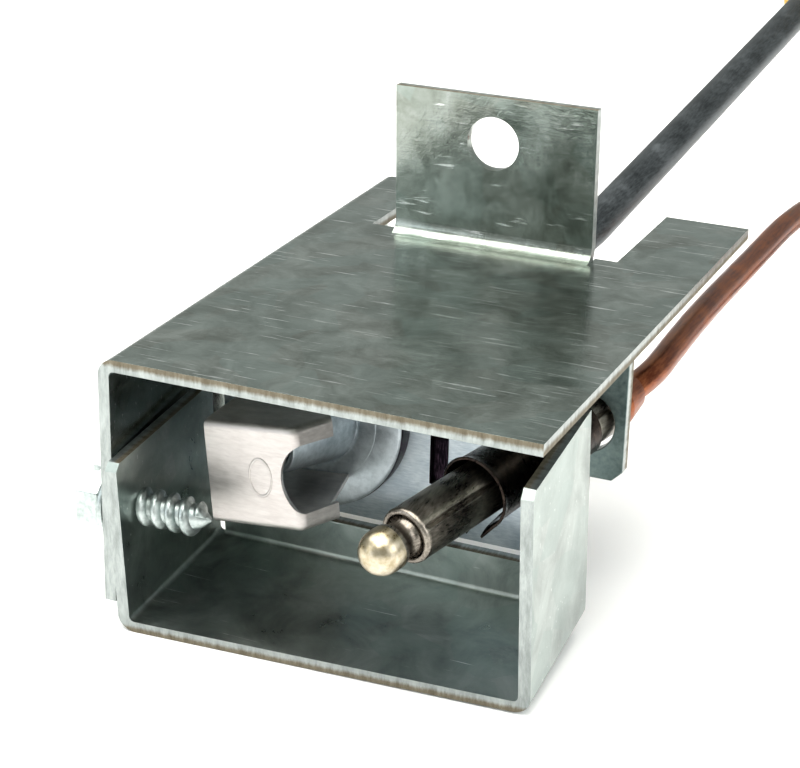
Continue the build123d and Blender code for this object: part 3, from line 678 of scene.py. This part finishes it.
def makePilotPlate():
    bm = copyOfNode("pilot_plate")
    ear = at(pilotPlate["earFrom"], 0, 0).x
    bmesh.ops.bisect_plane(bm, geom=bm.verts[:] + bm.edges[:] + bm.faces[:], plane_co=(ear, 0, 0),
                           plane_no=(1, 0, 0), dist=mm(0.001))
    markCutEdges(bm, plateGauge)
    slotLow, slotHigh = (at(*corner) for corner in pilotPlate["slotBox"])
    for face in bm.faces:
        middle = face.calc_center_median()
        if middle.x > ear and face.material_index == 0:
            face.material_index = 2
        # faces inside the slot take the near-black painted shade
        if all(low < c < high for low, c, high in zip(slotLow, middle, slotHigh)):
            face.material_index = 3
    finishPiece("pilotPlate", bm, [zincPlating, edgeMetal, darkZinc, paintedShadeDark], "bracket",
                ["pilot_plate"], "zinc_plate", bevel=0.12)


burner = {
    "place": (12.5, 13.5, -12.9),
    # (radius, distance back from the nose) round the outline
    "nose": [(2.1, 6.0), (2.3, 5.4), (2.3, 0.35), (2.5, 0.05), (2.95, 0.0), (3.15, 0.25)],
    "innerRing": [(5.5, 9.8), (5.62, 10.2), (5.8, 10.2), (5.9, 10.1)],
    "outerRing": [(7.9, 10.1), (7.98, 10.15), (8.06, 10.1)],
    "rim": [(10.6, 10.1), (10.95, 10.3), (11.05, 10.7), (11.05, 12.5)],
    "shank": [(5.0, 12.5), (5.0, 23.0), (4.6, 23.5)],
    "socket": [(3.95, 23.5), (3.95, 15.5), (2.1, 14.5)],
    # past this radius the rim is painted near black, a painted shadow of the gap between the rim and the
    # plate
    "paintedShadowFrom": 10.9,
}


def makePilotBurner():
    outline = [point for stretch in ("nose", "innerRing", "outerRing", "rim", "shank", "socket")
               for point in burner[stretch]]
    bm = turned(outline, steps=128, closed=True)
    # the rim's outer faces carry the painted shadow
    for face in bm.faces:
        middle = face.calc_center_median()
        if math.hypot(middle.x, middle.y) > mm(burner["paintedShadowFrom"]):
            face.material_index = 1
    aim(bm, at(*burner["place"]), (0, 1, 0))
    finishPiece("pilotBurner", bm, [turnedZinc, paintedShadeDark], "bracket", ["pilot_burner"], "zinc_plate",
                bevel=0.06, sharp=40)


hood = {
    "place": (13.2, 8.5, -14.05),
    "roll": 5.5,
    "width": 10.6, "height": 11.7, "sheet": 0.5, "depth": 15.0, "tail": 3.6, "bend": 0.8,
    "notchRadius": 4.7, "notchDepth": 2.0, "notchEnd": 0.76, "notchSteps": 19,
    "flare": 2.4, "flareLength": 4.2, "lip": 2.1, "waist": 2.6,
    "markTube": 0.14, "markRing": 1.6, "markStretch": (0.8, 0.7, 1.3), "markPlace": (0.9, -0.01, 0),
}


def makeHood():
    halfW, halfH = hood["width"] / 2, hood["height"] / 2
    notchX = halfW - hood["notchDepth"] + hood["notchRadius"]
    notchZ = math.sqrt(hood["notchRadius"] ** 2 - (notchX - halfW) ** 2)
    sweep = math.asin(notchZ / hood["notchRadius"])
    # the first and last runs of the arc are long enough for the bends to end on
    shares = [1] + [hood["notchEnd"] * (1 - 2 * step / hood["notchSteps"])
                    for step in range(hood["notchSteps"] + 1)] + [-1]
    arc = [(notchX - hood["notchRadius"] * math.cos(a), 0, hood["notchRadius"] * math.sin(a))
           for a in (sweep * share for share in shares)]
    bm = bmesh.new()
    arcVerts = [bm.verts.new(p) for p in arc]
    flaredX, waistY = halfW + hood["flare"], hood["flareLength"] + hood["waist"]
    low = {}
    for side in (1, -1):
        z = side * halfH
        low[side] = {
            "left": bm.verts.new((-halfW, 0, z)), "right": bm.verts.new((halfW, 0, z)),
            "tip": bm.verts.new((flaredX, hood["flareLength"], z)),
            "lipTip": bm.verts.new((flaredX, hood["flareLength"], side * (halfH - hood["lip"]))),
            "waist": bm.verts.new((halfW, waistY, z)),
            "tailRight": bm.verts.new((hood["tail"], hood["depth"], z)),
            "tailLeft": bm.verts.new((-hood["tail"], hood["depth"], z)),
            "backLeft": bm.verts.new((-halfW, waistY, z)),
        }
    top, bottom = low[1], low[-1]
    bm.faces.new([top["left"], top["right"]] + arcVerts + [bottom["right"], bottom["left"]])
    for side, corner in ((1, arcVerts[0]), (-1, arcVerts[-1])):
        part = low[side]
        bm.faces.new([part[k] for k in (
            "left", "right", "tip", "waist", "tailRight", "tailLeft", "backLeft")])
        bm.faces.new([part["right"], part["tip"], part["lipTip"], corner])
    bends = [e for e in bm.edges if len(e.link_faces) == 2]
    bmesh.ops.recalc_face_normals(bm, faces=bm.faces)
    bmesh.ops.bevel(bm, geom=bends, offset=hood["bend"], offset_type="OFFSET", segments=5, profile=0.5,
                    affect="EDGES", material=-1, clamp_overlap=True)
    front = [f for f in bm.faces if abs(f.calc_center_median().y) < 0.01]
    if sum(f.normal.y for f in front) > 0:
        bmesh.ops.reverse_faces(bm, faces=bm.faces)
    bmesh.ops.solidify(bm, geom=bm.faces[:], thickness=hood["sheet"])
    # a shallow oval die mark stands on the face
    mark = bmesh.new()
    upright = Matrix.Rotation(math.pi / 2, 3, "X")
    bmesh.ops.create_circle(mark, cap_ends=False, segments=8, radius=hood["markTube"])
    bmesh.ops.rotate(mark, verts=mark.verts, cent=(0, 0, 0), matrix=upright)
    bmesh.ops.translate(mark, verts=mark.verts, vec=(hood["markRing"], 0, 0))
    spun(mark, mark.verts[:] + mark.edges[:], math.tau, 48, merge=True)
    bmesh.ops.remove_doubles(mark, verts=mark.verts, dist=0.001)
    bmesh.ops.recalc_face_normals(mark, faces=mark.faces)
    bmesh.ops.rotate(mark, verts=mark.verts, cent=(0, 0, 0), matrix=upright)
    bmesh.ops.scale(mark, verts=mark.verts, vec=hood["markStretch"])
    bmesh.ops.translate(mark, verts=mark.verts, vec=hood["markPlace"])
    joined(bm, mark)
    place = (Matrix.Translation(at(*hood["place"])) @ Matrix.Rotation(math.radians(-hood["roll"]), 4, "Y")
             @ Matrix.Scale(mm(1), 4))
    bmesh.ops.transform(bm, matrix=place, verts=bm.verts)
    finishPiece("flameHood", bm, [stainless], "bracket", ["pilot_hood"], "stainless", bevel=0.1, sharp=50)


thermocouple = {
    "tip": (34.19, -5.21, -11.80),
    "bead": 2.32, "domeSteps": 14, "tintedTo": 0.9,
    # (radius, distance back from the centre of the tip's dome)
    "neck": [(2.28, 1.3), (2.1, 1.65), (1.85, 1.8), (1.85, 3.4), (2.2, 3.5), (2.2, 14.0), (0, 14.0)],
    "mouth": [(2.25, 3.7), (2.4, 3.3), (2.62, 3.28), (2.86, 3.5), (2.93, 3.8), (2.88, 4.2), (2.9, 4.7)],
    "bore": 2.25, "sheath": 2.9, "rowsFrom": 4.9, "sheathEnd": 37.5, "rows": 6,
    "seamDepth": 0.32, "seamAngle": 3.2, "seamSide": (0.786, -0.280, 0.552),
    "seamFrom": 4.0, "seamOver": 2.7,   # the seam marks only what is past this far and this wide
}
coupleTip = at(*thermocouple["tip"])
coupleWay = Vector(lead["direction"]).normalized()


def makeThermocouple():
    bead, steps = thermocouple["bead"], thermocouple["domeSteps"]
    dome = [(bead * math.sin(a), -bead * math.cos(a))
            for a in (math.pi / 2 * step / steps for step in range(steps + 1))]
    tip = turned(dome + [(bead, thermocouple["tintedTo"])] + thermocouple["neck"], steps=72)
    for face in tip.faces:
        if face.calc_center_median().z > mm(thermocouple["tintedTo"]):
            face.material_index = 1
    aim(tip, coupleTip, coupleWay)
    finishPiece("hotJunction", tip, [flameBead, heatSteel], "bracket", ["hot_junction"], "heat_alloy",
                sharp=50)
    end, first, count = thermocouple["sheathEnd"], thermocouple["rowsFrom"], thermocouple["rows"]
    rows = [(thermocouple["sheath"], first + (end - first) * step / count) for step in range(1, count + 1)]
    sheath = turned([(thermocouple["bore"], end)] + thermocouple["mouth"] + rows, steps=120, closed=True)
    side = coupleWay.to_track_quat("Z", "Y").inverted() @ Vector(thermocouple["seamSide"])
    seamAngle = math.atan2(side.y, side.x)
    for vert in sheath.verts:
        radius = math.hypot(vert.co.x, vert.co.y)
        apart = (math.atan2(vert.co.y, vert.co.x) - seamAngle + math.pi) % math.tau - math.pi
        onSeam = abs(apart) < math.radians(thermocouple["seamAngle"])
        if onSeam and radius > mm(thermocouple["seamOver"]) and vert.co.z > mm(thermocouple["seamFrom"]):
            sunk = 1 - mm(thermocouple["seamDepth"]) / radius
            vert.co.x *= sunk
            vert.co.y *= sunk
    aim(sheath, coupleTip, coupleWay)
    finishPiece("thermocoupleSheath", sheath, [heatSteel], "bracket", ["thermocouple_sheath"],
                "dark_sheath", sharp=40)


collar = {
    "start": 14.0,     # distance back from the centre of the tip's dome
    "aside": (0.32, -0.1, 0.12),
    # (radius, distance back from the collar's front)
    "outline": [(3.98, -0.25), (3.82, 0.1), (3.72, 0.6), (3.66, 3.0), (3.62, 7.0), (3.42, 9.0),
                (3.26, 11.0), (3.24, 17.3)],
    "wall": 0.32, "slit": 24, "slitSide": (0.05, -0.15, -1.0),
    "curlAngle": 26, "curlLength": 3.5, "curlOut": 0.16, "curlForward": 0.7,
}


def makeCollar():
    bm = turned(collar["outline"], steps=90, angle=360 - collar["slit"])
    for face in bm.faces:
        middle = face.calc_center_median()
        if face.normal.dot(Vector((middle.x, middle.y, 0))) < 0:
            face.normal_flip()
    # the slit's front corners curl away from the sheath
    slitEnd = math.radians(-collar["slit"])
    for vert in bm.verts:
        angle = math.atan2(vert.co.y, vert.co.x)
        apart = min(abs(angle), abs((angle - slitEnd + math.pi) % math.tau - math.pi))
        curl = (max(0, 1 - apart / math.radians(collar["curlAngle"]))
                * max(0, 1 - max(vert.co.z, 0) / mm(collar["curlLength"])))
        grow = 1 + collar["curlOut"] * curl * curl
        vert.co.x *= grow
        vert.co.y *= grow
        vert.co.z -= mm(collar["curlForward"]) * curl * curl
    bmesh.ops.solidify(bm, geom=bm.faces[:], thickness=mm(collar["wall"]))
    side = coupleWay.to_track_quat("Z", "Y").inverted() @ Vector(collar["slitSide"])
    slitAngle = math.atan2(side.y, side.x) + math.radians(collar["slit"] / 2)
    bmesh.ops.rotate(bm, verts=bm.verts, cent=(0, 0, 0), matrix=Matrix.Rotation(slitAngle, 3, "Z"))
    aim(bm, coupleTip + coupleWay * mm(collar["start"]) + Vector(collar["aside"]) / 1000, coupleWay)
    finishPiece("retainingCollar", bm, [bluedSpring], "bracket", ["retaining_collar"], "spring_steel",
                bevel=0.06, sharp=45)


def refined(name, node, mat, body, slot, bevel):
    finishPiece(name, copyOfNode(node), [mat], body, [node], slot, bevel=bevel, sharp=32)


makeScrew()
makePilotPlate()
makePilotBurner()
makeHood()
makeThermocouple()
makeCollar()
refined("gasTube", "gas_tube", greyTube, "bracket", "grey_tube", 0.05)
refined("burnerNut", "burner_nut", brass, "bracket", "brass", 0.12)
refined("burnerTubeNut", "burner_tube_nut", brass, "burner_tube_nut", "brass", 0.12)
refined("valveTubeNut", "valve_tube_nut", brass, "valve_tube_nut", "brass", 0.12)
refined("leadNut", "lead_nut", brass, "lead_nut", "brass", 0.12)
print("turned and formed pieces made")

plainFinishes = {
    "gas_orifice": brass, "core_wire": flameBead, "lead_crimp": copper, "burner_ferrule": brass,
    "valve_ferrule": brass, "contact_cone": copper, "contact_button": solder,
    "ceramic_insulator": alumina, "contact_washer": fibre, "coil_tie": bluedSpring,
}
for nodeName, finish in plainFinishes.items():
    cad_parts[nodeName].data.materials.clear()
    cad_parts[nodeName].data.materials.append(finish)
print("small pieces finished")
